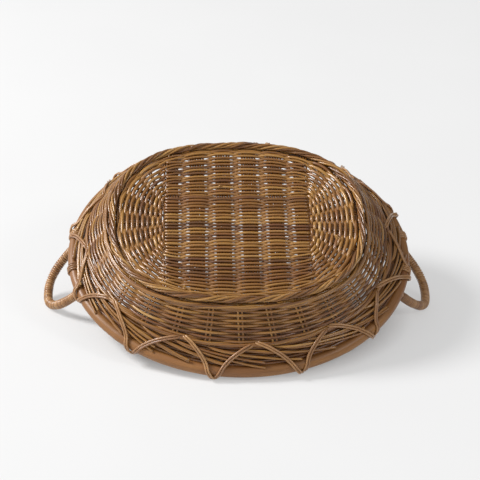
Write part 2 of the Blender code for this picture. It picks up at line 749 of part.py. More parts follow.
def make_handles(place, core_wood, wrap_wood):
    sockets = []
    for side, word in ((-1, "left"), (1, "right")):
        make_handle_core(f"handle_core_{word}", side, 0, place, core_wood)
        socket = make_handle_core(f"socket_{word}", side, GAP, place, None)
        sockets.append(as_mesh(socket))
        make_handle_wrap(f"handle_wrap_{word}", side, place, wrap_wood)
    return sockets


# The pose: handle tops and the front of the rim on one level
def stand(frame, pieces):
    def corners():
        bpy.context.view_layer.update()
        graph = bpy.context.evaluated_depsgraph_get()
        spots = []
        for piece in pieces.objects:
            solid = piece.evaluated_get(graph)
            mesh = solid.to_mesh()
            spots += [piece.matrix_world @ vertex.co for vertex in mesh.vertices]
            solid.to_mesh_clear()
        return spots

    lean = 0
    spots = corners()
    for _ in range(20):
        turn = Matrix.Rotation(lean, 3, "X")
        tops = min((turn @ spot for spot in spots if abs(spot.x) > RIM_HALF_LENGTH), key=lambda s: s.z)
        rim = min((turn @ spot for spot in spots if abs(spot.x) < RIM_HALF_LENGTH / 2
                   and spot.y < 0), key=lambda s: s.z)
        lean += atan2(rim.z - tops.z, tops.y - rim.y)
    frame.rotation_euler = (lean, 0, 0)
    spots = corners()
    low = [min(spot[axis] for spot in spots) for axis in range(3)]
    high = [max(spot[axis] for spot in spots) for axis in range(3)]
    frame.location = (-(low[0] + high[0]) / 2, -(low[1] + high[1]) / 2, -low[2])
    bpy.context.view_layer.update()


def build():
    clear_scene()
    scene = bpy.context.scene
    pieces = bpy.data.collections.new("rattan_tray_basket")
    cutters = bpy.data.collections.new("cutters")
    scene.collection.children.link(pieces)
    scene.collection.children.link(cutters)
    frame = bpy.data.objects.new("basket_frame", None)
    scene.collection.objects.link(frame)
    place = {"pieces": pieces, "cutters": cutters, "frame": frame}
    weave = make_material("woven_rattan", (0.235, 0.118, 0.048), 0.5)
    rods = make_material("rattan_rods", (0.270, 0.140, 0.058), 0.45)
    pole = make_material("rattan_pole", (0.330, 0.150, 0.050), 0.35)
    wrap = make_material("wrapping_cane", (0.290, 0.150, 0.075), 0.42)
    wall = make_wall(place, weave)
    tunnels = make_stakes(place, rods)
    make_base(place, weave)
    make_foot_ring(place, rods)
    make_border(place, rods)
    make_hoop(place, pole)
    make_lashing("rim_lashing_first", 0, True, place, wrap)
    make_lashing("rim_lashing_second", 1, False, place, wrap)
    sockets = make_handles(place, pole, wrap)
    cut([wall], tunnels + lashing_slots(place) + sockets, place)
    stand(frame, pieces)


build()
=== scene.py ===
import bpy
import bmesh
import numpy as np
from mathutils import Matrix


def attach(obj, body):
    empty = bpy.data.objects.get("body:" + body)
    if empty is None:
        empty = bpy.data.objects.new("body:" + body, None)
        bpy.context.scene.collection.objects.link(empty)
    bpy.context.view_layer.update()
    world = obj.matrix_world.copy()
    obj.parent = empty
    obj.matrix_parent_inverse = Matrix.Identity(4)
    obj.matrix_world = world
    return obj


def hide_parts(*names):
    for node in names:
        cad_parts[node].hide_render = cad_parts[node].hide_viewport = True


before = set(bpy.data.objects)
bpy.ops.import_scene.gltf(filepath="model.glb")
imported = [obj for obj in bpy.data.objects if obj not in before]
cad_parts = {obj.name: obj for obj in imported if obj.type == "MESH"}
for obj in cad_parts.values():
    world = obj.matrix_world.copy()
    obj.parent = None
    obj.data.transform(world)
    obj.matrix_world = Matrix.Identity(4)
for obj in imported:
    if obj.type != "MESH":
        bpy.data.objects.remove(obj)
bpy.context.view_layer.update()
print("stage: frame loaded")
scene = bpy.context.scene
mm = 0.001

# The basket's own frame: origin in the middle of the rim hoop, X along, Z towards the base.
hoopCorners = np.array([v.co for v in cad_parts["rim_hoop"].data.vertices])
origin = (hoopCorners.min(0) + hoopCorners.max(0)) / 2
spread = np.linalg.svd(hoopCorners - hoopCorners.mean(0), full_matrices=False)[2]
upward = spread[2] * np.sign(spread[2][2])
upward[0] = 0
upward /= np.linalg.norm(upward)
turned = np.stack([np.array([1.0, 0, 0]), np.cross(upward, [1, 0, 0]), upward], 1)


def toWorld(points):
    return origin + np.asarray(points) @ turned.T


# Outlines of the rim and the foot ring, which the wall runs between
rim = {"half": (237.3 * mm, 211.8 * mm), "fullness": 2.0, "radius": 8.3 * mm}
foot = {"half": (176.0 * mm, 145.8 * mm), "fullness": 2.5, "height": 74.5 * mm,
        "shift": -4.8 * mm}
stakePairs = 27
front, back = 0.75, 0.25  # shares of the way round, which starts at the right end


def unit(vectors):
    return vectors / np.linalg.norm(vectors, axis=-1, keepdims=True)


def runAlong(points):
    steps = np.linalg.norm(np.diff(points, axis=0), axis=1)
    return np.concatenate([[0], np.cumsum(steps)])


def placesAt(wanted, run, points):
    return np.stack([np.interp(wanted, run, column) for column in points.T], -1)


def ovalRadius(angle, outline):
    along = np.abs(np.cos(angle) / outline["half"][0]) ** outline["fullness"]
    across = np.abs(np.sin(angle) / outline["half"][1]) ** outline["fullness"]
    return (along + across) ** (-1 / outline["fullness"])


def rimAt(angle):
    radius = ovalRadius(angle, rim)
    return np.stack([radius * np.cos(angle), radius * np.sin(angle), 0 * radius], -1)


def footAt(angle):
    radius = ovalRadius(angle, foot)
    return np.stack([radius * np.cos(angle) + foot["shift"], radius * np.sin(angle),
                     0 * radius + foot["height"]], -1)


rimAngles = np.linspace(0, 2 * np.pi, 8 * 360 + 1)  # eight steps to a degree
rimRun = runAlong(rimAt(rimAngles))
rimShares = rimRun / rimRun[-1]


def angleAt(share):
    share = np.asarray(share, float)
    return np.interp(share % 1, rimShares, rimAngles) + 2 * np.pi * np.floor(share)


def shareAt(angle):
    return np.interp(angle % (2 * np.pi), rimAngles, rimShares)


def wallLength(angle):
    return np.linalg.norm(footAt(angle) - rimAt(angle), axis=-1)


def wallMiddle(angle, rise):
    low, high = rimAt(angle), footAt(angle)
    return low + (high - low) * (rise / wallLength(angle))[..., None]


def wallFrame(angle, rise):
    angle, rise = np.broadcast_arrays(np.asarray(angle, float), np.asarray(rise, float))
    nudge = 0.0005  # radians
    along = unit(wallMiddle(angle + nudge, rise) - wallMiddle(angle - nudge, rise))
    up = unit(footAt(angle) - rimAt(angle))
    return wallMiddle(angle, rise), along, up, unit(np.cross(along, up))


def wallPlace(angle, rise, out):
    middle, along, up, outward = wallFrame(angle, rise)
    return middle + outward * np.asarray(out, float)[..., None]


def aroundFoot(angle, reach, turn):
    # Turns round the foot ring's middle: 0 is level outward, a quarter is up.
    middle, along, up, outward = wallFrame(angle, wallLength(angle))
    level = unit(outward * (1, 1, 0))
    return (middle + level * (reach * np.cos(turn))[..., None]
            + np.array([0, 0, 1]) * (reach * np.sin(turn))[..., None])


def wander(positions, seed, scale, size):
    # Smooth seeded wander: the sum of four waves, the same at every run
    numbers = np.random.default_rng(seed)
    total = np.zeros_like(positions)
    for step in range(4):
        rate = 2 * np.pi / scale * (0.6 + 0.5 * step) * numbers.uniform(0.85, 1.15)
        total = total + np.sin(positions * rate + numbers.uniform(0, 2 * np.pi)) / (1 + step)
    return total * size / 1.6  # the waves reach about 1.6 together


def splined(rows, steps):
    # Catmull-Rom from the second row to the last but one
    a, b, c, d = (rows[k:len(rows) - 3 + k, None] for k in range(4))
    t = np.linspace(0, 1, steps, endpoint=False)[None, :, None]
    fine = 0.5 * (2 * b + (c - a) * t + (2 * a - 5 * b + 4 * c - d) * t ** 2
                  + (3 * b - a - 3 * c + d) * t ** 3)
    return fine.reshape(-1, rows.shape[1])


def smoothed(points, spacing, closed=False):
    # Even steps on a curve through rows of numbers, whose first three are the place
    points = np.asarray(points, float)
    if closed:
        rows = np.concatenate([points[-1:], points, points[:2]])
    else:
        before, after = 2 * points[:1] - points[1:2], 2 * points[-1:] - points[-2:-1]
        rows = np.concatenate([before, points, after])
    fine = np.concatenate([splined(rows, 12), points[:1] if closed else points[-1:]])
    run = runAlong(fine[:, :3])
    count = max(3, round(run[-1] / spacing))
    even = placesAt(np.linspace(0, run[-1], count + 1), run, fine)
    return even[:-1] if closed else even


# Shader nodes by arithmetic
class Wire:
    def __init__(self, tree, socket=None):
        self.tree, self.socket = tree, socket

    def node(self, kind, inputs=None, output=0, stops=(), **settings):
        made = self.tree.nodes.new(kind)
        for name, value in settings.items():
            setattr(made, name, value)
        for index, (place, colour) in enumerate(stops):
            ends = made.color_ramp.elements
            stop = ends[index] if index < 2 else ends.new(place)
            stop.position = place
            stop.color = (*colour, 1)
        for key, value in (inputs or {}).items():
            self.join(made.inputs[key], value)
        return Wire(self.tree, made.outputs[output])

    def join(self, socket, value):
        if isinstance(value, Wire):
            self.tree.links.new(value.socket, socket)
        elif socket.type == "RGBA" and len(value) == 3:
            socket.default_value = (*value, 1)
        else:
            socket.default_value = value

    def maths(self, operation, first, second):
        kind = "ShaderNodeVectorMath" if self.socket.type == "VECTOR" else "ShaderNodeMath"
        return self.node(kind, {0: first, 1: second}, operation=operation)

    def __add__(self, other):
        return self.maths("ADD", self, other)

    def __radd__(self, other):
        return self.maths("ADD", other, self)

    def __sub__(self, other):
        return self.maths("SUBTRACT", self, other)

    def __rsub__(self, other):
        return self.maths("SUBTRACT", other, self)

    def __mul__(self, other):
        return self.maths("MULTIPLY", self, other)

    def __rmul__(self, other):
        return self.maths("MULTIPLY", other, self)

    def length(self):
        return self.node("ShaderNodeVectorMath", {0: self}, "Value", operation="LENGTH")

    def part(self, axis):
        return self.node("ShaderNodeSeparateXYZ", {0: self}, axis)

    def noise(self, scale, detail, roughness):
        inputs = {"Vector": self, "Scale": scale, "Detail": detail, "Roughness": roughness}
        return self.node("ShaderNodeTexNoise", inputs)

    def ramp(self, *stops):
        return self.node("ShaderNodeValToRGB", {0: self}, stops=stops)

    def between(self, low, high, least=0.0, most=1.0):
        inputs = {"Value": self, "From Min": low, "From Max": high,
                  "To Min": least, "To Max": most}
        return self.node("ShaderNodeMapRange", inputs)

    def mixed(self, other, share):
        return self.node("ShaderNodeMix", {0: share, 6: self, 7: other}, 2, data_type="RGBA")


def newMaterial(name):
    material = bpy.data.materials.new(name)
    material.use_nodes = True
    return material, material.node_tree.nodes["Principled BSDF"], Wire(material.node_tree)


# What the four finishes share: noise per metre along and across the strand
fibre = {"patchAcross": 60, "streakAcross": 1500, "specks": (260, 900, 900),
         "red": (5, 30, 30), "redShift": (3.1, 7.3, 1.7), "redShare": 0.35,
         "coatRoughness": 0.28, "specular": 0.5, "bumpDepth": 0.4 * mm}


# Cane and rod: tone runs from strand to strand, fibres run along it
def caneMaterial(name, look):
    material, shader, wire = newMaterial(name)
    space = wire.node("ShaderNodeAttribute", attribute_name="strandSpace", output="Vector")
    tone = wire.node("ShaderNodeAttribute", attribute_name="strandTone", output="Fac")
    across = fibre["patchAcross"]
    patches = (space * (look["patch"], across, across)).noise(1.0, 3.0, 0.6)
    across = fibre["streakAcross"]
    streaks = (space * (look["grain"], across, across)).noise(1.0, 3.0, 0.62)
    specks = (space * fibre["specks"]).noise(1.0, 2.0, 0.5)
    shade = tone * look["toneShare"] + patches * look["patchShare"]
    shade = shade + streaks * look["streakShare"] + look["shift"]
    redness = (space * fibre["red"] + fibre["redShift"]).noise(1.0, 2.0, 0.5).between(0.42, 0.68)
    colour = shade.ramp(*look["colours"]).mixed(look["red"], redness * fibre["redShare"])
    colour = colour.mixed(look["dirt"], specks.between(0.66, 0.78) * look["specks"])
    wire.join(shader.inputs["Base Color"], colour)
    wire.join(shader.inputs["Roughness"], streaks.between(0.3, 0.7, *look["rough"]))
    shader.inputs["Coat Weight"].default_value = look["coat"]
    shader.inputs["Coat Roughness"].default_value = fibre["coatRoughness"]
    shader.inputs["Specular IOR Level"].default_value = fibre["specular"]
    relief = {"Height": streaks * 0.7 + specks * 0.3, "Strength": look["bump"],
              "Distance": fibre["bumpDepth"]}
    wire.join(shader.inputs["Normal"], wire.node("ShaderNodeBump", relief))
    return material


weaverLook = {"toneShare": 0.45, "patchShare": 0.55, "streakShare": 0.35, "shift": -0.16,
              "patch": 14, "grain": 38,
              "colours": ((0.0, (0.036, 0.009, 0.001)), (0.25, (0.110, 0.037, 0.003)),
                          (0.5, (0.235, 0.095, 0.010)), (0.75, (0.385, 0.190, 0.036)),
                          (1.0, (0.600, 0.405, 0.180))),
              "red": (0.190, 0.056, 0.015), "dirt": (0.035, 0.013, 0.005), "specks": 0.5,
              "rough": (0.29, 0.42), "coat": 0.7, "bump": 0.35}
rodLook = dict(weaverLook, shift=-0.13)
wrapLook = dict(weaverLook, shift=-0.14, rough=(0.38, 0.55), patch=45,
                colours=((0.0, (0.080, 0.029, 0.008)), (0.25, (0.200, 0.086, 0.025)),
                         (0.5, (0.350, 0.170, 0.055)), (0.75, (0.480, 0.265, 0.100)),
                         (1.0, (0.620, 0.400, 0.190))))
poleLook = dict(weaverLook, toneShare=0.10, patchShare=1.00, streakShare=0.45, shift=-0.28,
                patch=10, colours=((0.0, (0.090, 0.030, 0.007)), (0.3, (0.185, 0.073, 0.016)),
                                   (0.55, (0.260, 0.112, 0.026)), (0.8, (0.360, 0.168, 0.045)),
                                   (1.0, (0.500, 0.260, 0.085))),
                specks=0.25, rough=(0.42, 0.56), coat=0.15, bump=0.15)
weaverWood = caneMaterial("wovenRattan", weaverLook)
rodWood = caneMaterial("rattanRods", rodLook)
wrapWood = caneMaterial("wrappingCane", wrapLook)
poleWood = caneMaterial("rattanPole", poleLook)
print("stage: materials made")

# Strands: one curve per piece with a spline for each strand, then one mesh
strandMake = {"tip": 0.35,              # an open end comes to a point this many radii on
              "leastGirth": 0.3 * mm,   # so that the grain doesn't crowd at a tip
              "runSpread": 40}          # metres, so that no two strands share their grain


def pointed(points, radii):
    first = points[0] + unit(points[0] - points[1]) * radii[0] * strandMake["tip"]
    last = points[-1] + unit(points[-1] - points[-2]) * radii[-1] * strandMake["tip"]
    return np.concatenate([first[None], points, last[None]]), np.concatenate([[0], radii, [0]])


def meshOf(name, curve):
    holder = bpy.data.objects.new(name, curve)
    scene.collection.objects.link(holder)
    bpy.context.view_layer.update()
    seen = holder.evaluated_get(bpy.context.evaluated_depsgraph_get())
    mesh = bpy.data.meshes.new_from_object(seen)
    bpy.data.objects.remove(holder, do_unlink=True)
    bpy.data.curves.remove(curve)
    mesh.name = name
    return mesh


def closeTips(mesh, tips, sides):
    shape = bmesh.new()
    shape.from_mesh(mesh)
    shape.verts.ensure_lookup_table()
    ends = [shape.verts[ring * sides + k] for ring in tips for k in range(sides)]
    if ends:
        bmesh.ops.remove_doubles(shape, verts=ends, dist=1e-6)
    bmesh.ops.recalc_face_normals(shape, faces=shape.faces)
    shape.to_mesh(mesh)
    shape.free()


def strandPiece(name, strands, sides, material, nodes, seed):
    numbers = np.random.default_rng(seed)
    curve = bpy.data.curves.new(name, "CURVE")
    curve.dimensions = "3D"
    curve.bevel_depth = mm
    curve.bevel_resolution = sides // 2 - 2
    curve.render_resolution_u = 0
    turn = 2 * np.pi * np.arange(sides) / sides
    spaces, tones, tips = [], [], []
    total = 0
    for strand in strands:
        points = toWorld(strand["points"])
        radii = np.broadcast_to(np.asarray(strand["radius"], float), (len(points),))
        closed = strand.get("closed", False)
        if not closed:
            points, radii = pointed(points, radii)
            tips += [total, total + len(points) - 1]
        count = len(points)
        spline = curve.splines.new("POLY")
        spline.points.add(count - 1)
        spline.points.foreach_set("co", np.concatenate([points, np.ones((count, 1))], 1).ravel())
        spline.points.foreach_set("radius", radii / mm)
        spline.use_cyclic_u = closed
        spline.use_smooth = True
        run = runAlong(points) + numbers.uniform(0, strandMake["runSpread"])
        girth = np.maximum(radii, strandMake["leastGirth"])[:, None]
        rings = [np.repeat(run[:, None], sides, 1), girth * np.cos(turn), girth * np.sin(turn)]
        spaces.append(np.stack(rings, -1).reshape(-1, 3))
        tone = np.atleast_1d(strand.get("tone", numbers.uniform(0, 1)))
        tones.append(np.repeat(tone[np.arange(count) * len(tone) // count], sides))
        total += count
    mesh = meshOf(name, curve)
    if len(mesh.vertices) != total * sides:
        raise RuntimeError(f"{name}: {len(mesh.vertices)} corners for {total} rings of {sides}")
    space = mesh.attributes.new("strandSpace", "FLOAT_VECTOR", "POINT")
    space.data.foreach_set("vector", np.concatenate(spaces).ravel())
    tone = mesh.attributes.new("strandTone", "FLOAT", "POINT")
    tone.data.foreach_set("value", np.concatenate(tones))
    closeTips(mesh, tips, sides)
    mesh.shade_smooth()
    mesh.materials.clear()
    mesh.materials.append(material)
    piece = bpy.data.objects.new(name, mesh)
    scene.collection.objects.link(piece)
    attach(piece, "root")
    if nodes:
        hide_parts(*nodes)
    triangles = sum(len(p.vertices) - 2 for p in mesh.polygons)
    print("piece", name, triangles, "triangles")


def lowestFrom(values, start, room):
    # Where a weaver lies deepest within room of the start, so that its joint is hidden
    return start + int(np.argmin(values[start:start + room]))


def cutStrands(rows, cuts):
    # Rows of place and radius, cut into strands, without scraps of three points or fewer
    marks = [0, *cuts, len(rows)]
    return [{"points": rows[a:b, :3], "radius": rows[a:b, 3]}
            for a, b in zip(marks, marks[1:]) if b - a > 3]


evenShares = np.arange(6 * stakePairs) / (6 * stakePairs)  # for rods that run straight round

# Wall: plain weave over and under pairs of stakes, between bands of three-rod wale
wall = {"weaver": 1.95 * mm, "wave": 2.85 * mm, "firstRow": 41.4 * mm, "rowPitch": 3.62 * mm,
        "rounds": 13, "stepUp": 0.12, "pointsPerStake": 8,
        "bottom": 33 * mm, "nominal": 99.5 * mm, "foot": 8 * mm,
        "breaks": (1.31, 2.83, 4.17, 5.72, 7.06, 8.61, 9.98, 11.39),
        "waleRod": 1.85 * mm, "waleRows": (36.4, 88.6), "waleWave": 2.9 * mm,
        "waleOut": 0.2 * mm, "waleDip": 0.13, "waleRise": 2.1 * mm,
        "cornerRows": (-66, -80, -93, -107, -121, -136, -151, -166),
        "cornerReach": 10.4 * mm, "cornerWave": 2.1 * mm, "cornerRod": 1.8 * mm,
        "cornerEnds": 0.31}
perRound = stakePairs * wall["pointsPerStake"]


def weaveRise(angle, rise):
    # The rows spread over the wall's true height, which varies round the basket.
    room = wallLength(angle) - wall["bottom"] - wall["foot"]
    nominalRoom = wall["nominal"] - wall["bottom"] - wall["foot"]
    return wall["bottom"] + (rise - wall["bottom"]) * room / nominalRoom


def sawtooth(phase):
    # Climbs while a rod is in front and drops while it is hidden
    return sum((-1) ** (k + 1) * np.sin(2 * np.pi * k * (phase - 0.5)) / k * (1 - 0.2 * k)
               for k in (1, 2, 3))


def plainWeave():
    # One weaver from the back, level for most of a round, then up to the next
    rounds = np.arange(wall["rounds"] * perRound + 1) / perRound
    share = back + rounds
    angle = angleAt(share)
    step = np.clip((rounds % 1 - (1 - wall["stepUp"])) / wall["stepUp"], 0, 1)
    level = np.floor(rounds) + step * step * (3 - 2 * step)
    rise = weaveRise(angle, wall["firstRow"] + level * wall["rowPitch"])
    rise = rise + wander(rounds, 5, 0.9, 0.22 * mm) + wander(share % 1, 6, 0.3, 0.3 * mm)
    out = wall["wave"] * np.cos(np.pi * stakePairs * (share - front))
    out = out + wander(rounds, 7, 0.11, 0.2 * mm)
    points = wallPlace(angle, rise, out)
    rows = np.column_stack([points, np.full(len(points), wall["weaver"])])
    room = 2 * wall["pointsPerStake"]
    cuts = [lowestFrom(out, round(place * perRound), room) for place in wall["breaks"]]
    return cutStrands(rows, cuts)


def waleRods():
    # Three rods at a time, each over two pairs of stakes and behind the third
    strands = []
    share = np.arange(perRound) / perRound
    angle = angleAt(share)
    for row, nominal in enumerate(wall["waleRows"]):
        for rod in range(3):
            phase = (stakePairs * (share - front) + rod + row) / 3
            near = np.abs((phase + 0.5) % 1 - 0.5)
            dip = 2 * np.exp(-(near / wall["waleDip"]) ** 2)
            rise = weaveRise(angle, nominal * mm) + wall["waleRise"] * sawtooth(phase)
            rise = rise + wander(share, 20 + 3 * row + rod, 0.5, 0.15 * mm)
            points = wallPlace(angle, rise, wall["waleWave"] * (1 - dip) + wall["waleOut"])
            hidden = np.flatnonzero(near < 0.5 / wall["pointsPerStake"])
            start = hidden[(5 * row + 3 * rod) % len(hidden)]
            strands.append({"points": np.roll(points, -start, 0), "radius": wall["waleRod"]})
    return strands


def cornerRows():
    # The rows that turn the corner under the foot ring
    strands = []
    for row, degrees in enumerate(wall["cornerRows"]):
        share = np.arange(perRound + 1) / perRound + wall["cornerEnds"] * row
        wave = np.cos(np.pi * (stakePairs * (share - front) + row))
        turn = np.radians(degrees) + wander(share, 80 + row, 0.3, 0.03)
        points = aroundFoot(angleAt(share), wall["cornerReach"] + wall["cornerWave"] * wave, turn)
        strands.append({"points": points, "radius": wall["cornerRod"]})
    return strands


strandPiece("wallWeave", plainWeave() + waleRods() + cornerRows(), 8,
            weaverWood, ["wall_weave"], 11)

# Stakes: in pairs through the wall, then bent sideways along the rim as the border
stakes = {"radius": 1.55 * mm, "apart": 2.8 * mm, "out": 0.9 * mm, "top": 11.5 * mm,
          "foot": 32 * mm, "step": 9 * mm, "hook": (-158, -140, -118), "hookReach": 10.6 * mm,
          "borderRadius": 1.6 * mm, "borderApart": 1.65 * mm, "borderLift": 0.8 * mm,
          "reach": 2.6, "spread": 0.0010, "drift": 2.2 * mm, "uneven": 0.5, "fine": 4.5 * mm,
          "bend": ((0.0, 31.0, 0.3), (0.05, 29.4, 2.6), (0.12, 27.9, 4.5), (0.25, 25.8, 5.2),
                   (0.45, 22.0, 5.3), (0.65, 17.6, 5.2), (0.85, 12.2, 6.2), (1.0, 8.0, 7.2)),
          "backing": ((9.8, 0.4), (14.2, -0.6), (18.6, -0.6), (23.0, -0.6), (27.4, -0.6),
                      (31.8, -0.6)),
          "backingRadius": 2.3 * mm}


def stakeRows(k, side):
    # One stake of a pair: round the corner of the base, down the wall and along the rim
    rows = []
    middle = front + k / stakePairs
    angle = float(angleAt(middle))
    length = float(wallLength(angle))
    beside = wallFrame(angle, length)[1] * side * stakes["apart"]
    for degrees in stakes["hook"]:
        point = aroundFoot(angle, stakes["hookReach"], np.radians(degrees))
        rows.append((*(point + beside), stakes["radius"]))
    for rise in np.arange(length - stakes["top"], stakes["foot"], -stakes["step"]):
        point, along, up, outward = wallFrame(angle, rise)
        point = point + along * side * stakes["apart"] + outward * stakes["out"]
        rows.append((*point, stakes["radius"]))
    for run, rise, out in stakes["bend"]:
        share = middle + run * stakes["reach"] / stakePairs + side * (1 - run) * stakes["spread"]
        drift = run * stakes["drift"] * np.sin(2.4 * k + 1.3 * side)
        apart = side * run ** 0.3 * stakes["borderApart"]
        place = wallPlace(angleAt(share), rise * mm - apart + drift + stakes["borderLift"],
                          (out + stakes["uneven"] * np.sin(3.1 * k + side)) * mm)
        rows.append((*place, stakes["borderRadius"]))
    return smoothed(rows, stakes["fine"])


def makeStakes():
    strands = []
    for k in range(stakePairs):
        for side in (-1, 1):
            rows = stakeRows(k, side)
            # Light tones, partly tone that differs from stake to stake and partly a painted
            # highlight on the stakes.
            tone = 0.7 + 0.3 * np.sin(12.9 * k + 4.1 * side)
            strands.append({"points": rows[:, :3], "radius": rows[:, 3], "tone": tone})
    # Rods behind the border, where the bent ends of the stakes lie several deep; they take the
    # darkest tone as painted shade in the gaps of the border
    for rise, out in stakes["backing"]:
        rises = rise * mm + wander(evenShares, int(rise), 0.2, 0.3 * mm)
        points = wallPlace(angleAt(evenShares), rises, out * mm)
        strands.append({"points": points, "radius": stakes["backingRadius"], "closed": True,
                        "tone": 0.0})
    nodes = [f"wall_stakes_{k + 1:02d}" for k in range(stakePairs)]
    nodes += [f"border_cane_{k + 1}" for k in range(4)]
    strandPiece("stakesAndBorder", strands, 8, rodWood, nodes, 12)


makeStakes()
print("stage: wall made")

# Base: a mat of rows across six rib bundles, then rounds over ribs and fanned spokes
base = {"level": 68.2 * mm, "curl": 2.2 * mm, "curlFrom": 0.6, "curlOver": 0.33,
        "rib": 37.4 * mm, "ribRadius": 1.5 * mm, "ribSticks": 6, "ribApart": 0.35 * mm,
        "weaver": 1.7 * mm, "swell": 0.28 * mm, "wave": 2.85 * mm,
        "matRows": 31, "matHalf": (100 * mm, 47.5 * mm), "matStep": 4 * mm,
        "matClose": 0.2 * mm, "matEdgeClose": 0.42 * mm, "matEdgeRows": (4, 7),
        "matJoins": (3, 7, 10, 14, 17, 21, 25, 28),
        "edge": {"half": (168.0 * mm, 138.0 * mm), "fullness": 2.5},
        "rounds": 18, "fill": 0.62, "shortAfter": (2, 5, 8, 11, 14), "pointsPerSpoke": 8,
        "rightSpokes": 8, "leftSpokes": 7, "spokeRadius": 1.35 * mm,
        "fanClear": (3 * mm, 4 * mm), "spokeTuck": 14 * mm, "edgeTuck": 2 * mm,
        "looseEnds": ((-0.016, 0.068, 200, 9 * mm), (0.142, -0.041, 115, 13 * mm),
                      (0.138, -0.045, 60, 11 * mm), (0.146, -0.036, 150, 9 * mm),
                      (-0.066, -0.128, 160, 10 * mm), (-0.141, 0.064, 250, 9 * mm))}
ribPlaces = [base["rib"] * (k - 2.5) for k in range(6)]
matHalfX, matHalfY = base["matHalf"]
matReach = round(matHalfX / base["matStep"])
rowPlaces = np.arange(-matReach, matReach + 1) * base["matStep"]
sideSlots = base["rounds"] + 2 * len(base["shortAfter"])  # rows that lie on the long sides


def baseLevel(x, y):
    half, full = foot["half"], foot["fullness"]
    share = (np.abs(x / half[0]) ** full + np.abs(y / half[1]) ** full) ** (1 / full)
    curl = np.clip((share - base["curlFrom"]) / base["curlOver"], 0, 1) ** 2
    return base["level"] + base["curl"] * curl


def settled(path):
    path[:, 2] += baseLevel(path[:, 0], path[:, 1])
    path[:, 0] += foot["shift"]
    return path


def onBase(x, y):
    return np.stack([x + foot["shift"], y, baseLevel(x, y)], -1)


def overUnder(cosine):
    # Fuller than a cosine, as a weaver hugs the rib that it passes
    return base["wave"] * (1.4 * cosine - 0.4 * cosine ** 3)


def edgeHalf(x):
    half, full = base["edge"]["half"], base["edge"]["fullness"]
    return half[1] * (1 - abs(x / half[0]) ** full) ** (1 / full)


def baseSpokes():
    # Each spoke's inner and outer end and whether it is a rib, round from the left end
    corner = np.arctan2(edgeHalf(ribPlaces[-1]), ribPlaces[-1])
    angles = np.linspace(0, 2 * np.pi, 4 * 360 + 1)
    angles = angles[angles <= corner]
    radius = ovalRadius(angles, base["edge"])
    quarter = np.stack([radius * np.cos(angles), radius * np.sin(angles)], 1)
    run = runAlong(quarter)
    fine = 720  # even places on the upper half
    upper = placesAt(run[-1] * np.arange(1, fine + 1) / (fine + 1), run, quarter)
    line = np.concatenate([upper[::-1] * (1, -1), upper])
    run = runAlong(line)

    def fan(count, side):
        found = []
        clearX, clearY = base["fanClear"]
        for k in range(count):
            share = (k + 1) / (count + 1)
            inner = np.array([matHalfX + clearX, (2 * share - 1) * (matHalfY + clearY)])
            found.append((inner * side, placesAt(share * run[-1], run, line) * side, False))
        return found

    def ribs(places, sign):
        return [(np.array([x, sign * matHalfY]), np.array([x, sign * edgeHalf(x)]), True)
                for x in places]

    left = fan(base["leftSpokes"], -1)
    half = len(left) // 2
    return (left[half:] + ribs(ribPlaces, -1) + fan(base["rightSpokes"], 1)
            + ribs(ribPlaces[::-1], 1) + left[:half])


spokeList = baseSpokes()


def slotOf(roundNumber):
    return roundNumber + 2 * sum(roundNumber >= after for after in base["shortAfter"])


def matStrands():
    # One weaver going to and fro round the outer ribs
    rows = []
    pitch = 2 * matHalfY / base["matRows"]
    firstClose, openEnd = base["matEdgeRows"]
    for j in range(base["matRows"]):
        y = -matHalfY + (j + 0.5) * pitch
        sign = (-1) ** j
        cosine = np.cos(np.pi * (rowPlaces - base["rib"] / 2) / base["rib"]) * sign
        lift = overUnder(cosine) * (1 + 0.12 * np.sin(2.7 * j))
        ys = y + wander(rowPlaces, 100 + j, 0.07, 0.26 * mm)
        ys = ys + wander(rowPlaces, 99, 0.2, 0.35 * mm)
        ys = ys + 0.32 * mm * np.sin(1.9 * j + 0.7 * np.sin(0.8 * j))
        inner = firstClose <= j < base["matRows"] - openEnd
        close = base["matClose"] if inner else base["matEdgeClose"]
        radius = base["weaver"] + close + base["swell"] * (np.abs(cosine) - 0.7)
        rows.append(np.stack([rowPlaces, ys, lift, radius], 1)[::sign])
        turn = (sign * (matHalfX + 2.0 * mm), y + pitch / 2, 0, base["weaver"])
        rows.append(np.array([turn]))
    path = settled(np.concatenate(rows[:-1]))
    perRow = len(rowPlaces) + 1
    # Joints, each somewhere else along its row
    cuts = [lowestFrom(path[:, 2], j * perRow + 6 + j * 7 % 30, 20) for j in base["matJoins"]]
    return cutStrands(path, cuts)


def roundStrands():
    # One spiral over and under ribs and spokes, which are an odd number
    crossings = []
    count, steps = len(spokeList), base["pointsPerSpoke"]
    for number in range(base["rounds"]):
        for k, (inner, outer, isRib) in enumerate(spokeList):
            slots = sideSlots if isRib else base["rounds"]
            place = slotOf(number) + 0.5 + 0.2 * k / count if isRib else number + 0.3 + k / count
            place = inner + (outer - inner) * min(place / slots, 1)
            radius = base["fill"] * np.linalg.norm(outer - inner) / slots
            crossings.append((*place, radius, (-1) ** (k + number)))
    crossings = np.array(crossings)
    fine = splined(np.concatenate([crossings[:1], crossings, crossings[-1:]]), steps)
    between = np.tile(np.arange(steps) / steps, len(crossings) - 1)
    cosine = np.repeat(crossings[:-1, 3], steps) * np.cos(np.pi * between)
    path = np.stack([fine[:, 0], fine[:, 1], overUnder(cosine), fine[:, 2]], 1)
    radial = unit(path[:, :2])
    path = settled(path)
    run = np.arange(len(path)) / (count * steps)
    path[:, 2] += wander(run, 31, 0.13, 0.12 * mm)
    path[:, :2] += radial * wander(run, 32, 0.21, 0.2 * mm)[:, None]
    starts = [int((j + 0.37 * j % 1 * 0.8) * count * steps) for j in range(1, base["rounds"])]
    cuts = [lowestFrom(path[:, 2], start, 2 * steps) for start in starts
            if start + 2 * steps < len(path)]
    return cutStrands(path, cuts)


